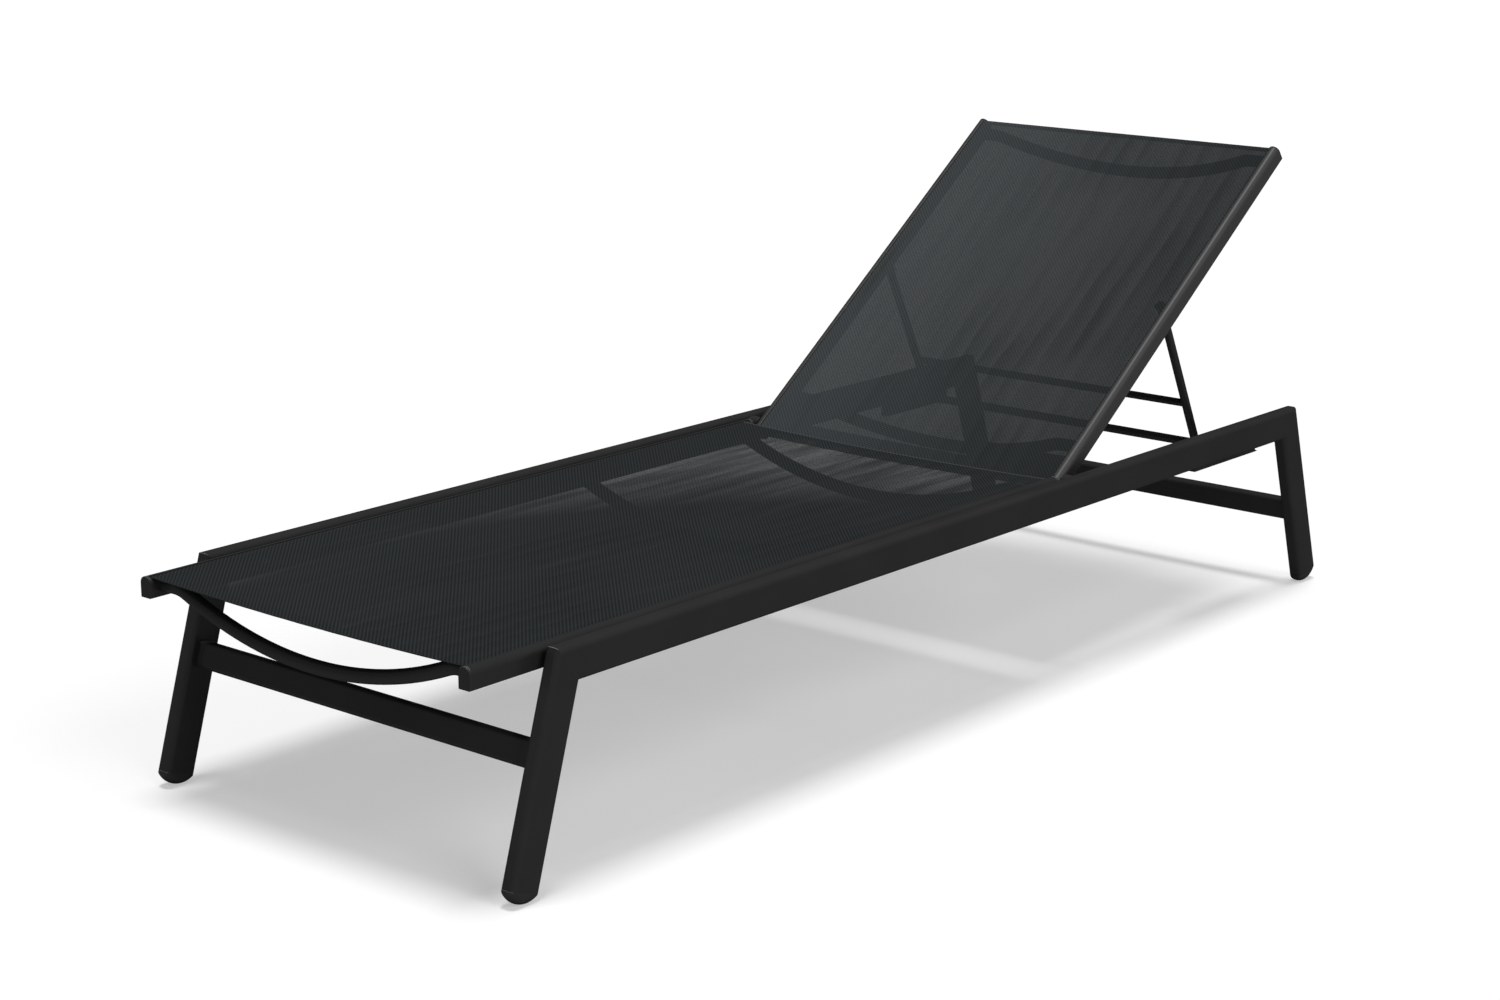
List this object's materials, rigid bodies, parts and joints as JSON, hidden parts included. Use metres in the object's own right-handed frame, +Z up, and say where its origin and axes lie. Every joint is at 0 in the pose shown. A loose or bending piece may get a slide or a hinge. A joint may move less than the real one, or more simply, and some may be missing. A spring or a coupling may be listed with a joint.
{
  "type": "sun lounger",
  "caption": "Reclining garden lounger: tube side frames, see-through mesh sling in grooved rails, bowed cross tubes, and a backrest on a swinging prop stand.",
  "frame": {"origin": "on the ground below the middle of the overall length and width, with the backrest as it stands at rest", "axes": "+X from the foot end to the head end, +Y to the right of a person lying on it who looks to the foot end, +Z up"},
  "size_m": [2.0016, 0.695, 0.7576],
  "materials": {
    "frame": "powder-coated charcoal, fine texture, satin",
    "plastic": "moulded black, matte",
    "mesh_fabric": "woven coated mesh, dark grey, see-through",
    "fixings": "stainless, satin"
  },
  "bodies": {
    "base": {"side_rail_left": "frame", "side_rail_right": "frame", "front_leg_left": "frame", "front_leg_right": "frame", "rear_leg_left": "frame", "rear_leg_right": "frame", "front_foot_left": "plastic", "front_foot_right": "plastic", "rear_foot_left": "plastic", "rear_foot_right": "plastic", "front_stretcher": "frame", "rear_stretcher": "frame", "seat_rail_left": "frame", "seat_rail_right": "frame", "seat_front_cap_left": "plastic", "seat_front_cap_right": "plastic", "seat_rear_cap_left": "plastic", "seat_rear_cap_right": "plastic", "seat_bow_front": "frame", "seat_bow_middle": "frame", "seat_bow_rear": "frame", "seat_spacers": "plastic", "seat_bolts": "fixings", "seat_spline_left": "plastic", "seat_spline_right": "plastic", "seat_sling": "mesh_fabric", "rack_left": "plastic", "rack_right": "plastic", "rack_screws": "fixings", "hinge_bolt_left": "fixings", "hinge_bolt_right": "fixings", "hinge_bush_left": "plastic", "hinge_bush_right": "plastic", "rivet_nuts": "fixings"},
    "backrest": {"back_rail_left": "frame", "back_rail_right": "frame", "back_top_cap_left": "plastic", "back_top_cap_right": "plastic", "back_low_cap_left": "plastic", "back_low_cap_right": "plastic", "back_bow_low": "frame", "back_bow_top": "frame", "back_spline_left": "plastic", "back_spline_right": "plastic", "back_sling": "mesh_fabric", "prop_bolt_left": "fixings", "prop_bolt_right": "fixings", "prop_washer_left": "plastic", "prop_washer_right": "plastic"},
    "prop_stand": {"prop_leg_left": "frame", "prop_leg_right": "frame", "prop_upper_bar": "frame", "prop_lower_bar": "frame", "prop_cap_left": "plastic", "prop_cap_right": "plastic"}
  },
  "joints": [
    {"name": "backrest_recline", "type": "hinge", "parent": "base", "child": "backrest", "pos_m": [0.27768, 0, 0.3029], "axis": [0, -1, 0], "range_deg": [-36.03, 5]},
    {"name": "prop_swing", "type": "hinge", "parent": "backrest", "child": "prop_stand", "pos_m": [0.5858, 0, 0.52701], "axis": [0, -1, 0], "range_deg": [-13.53, 95.61]}
  ],
  "couplings": [
    {"joint": "prop_swing", "follows": "backrest_recline", "ratio": -2.6453}
  ]
}
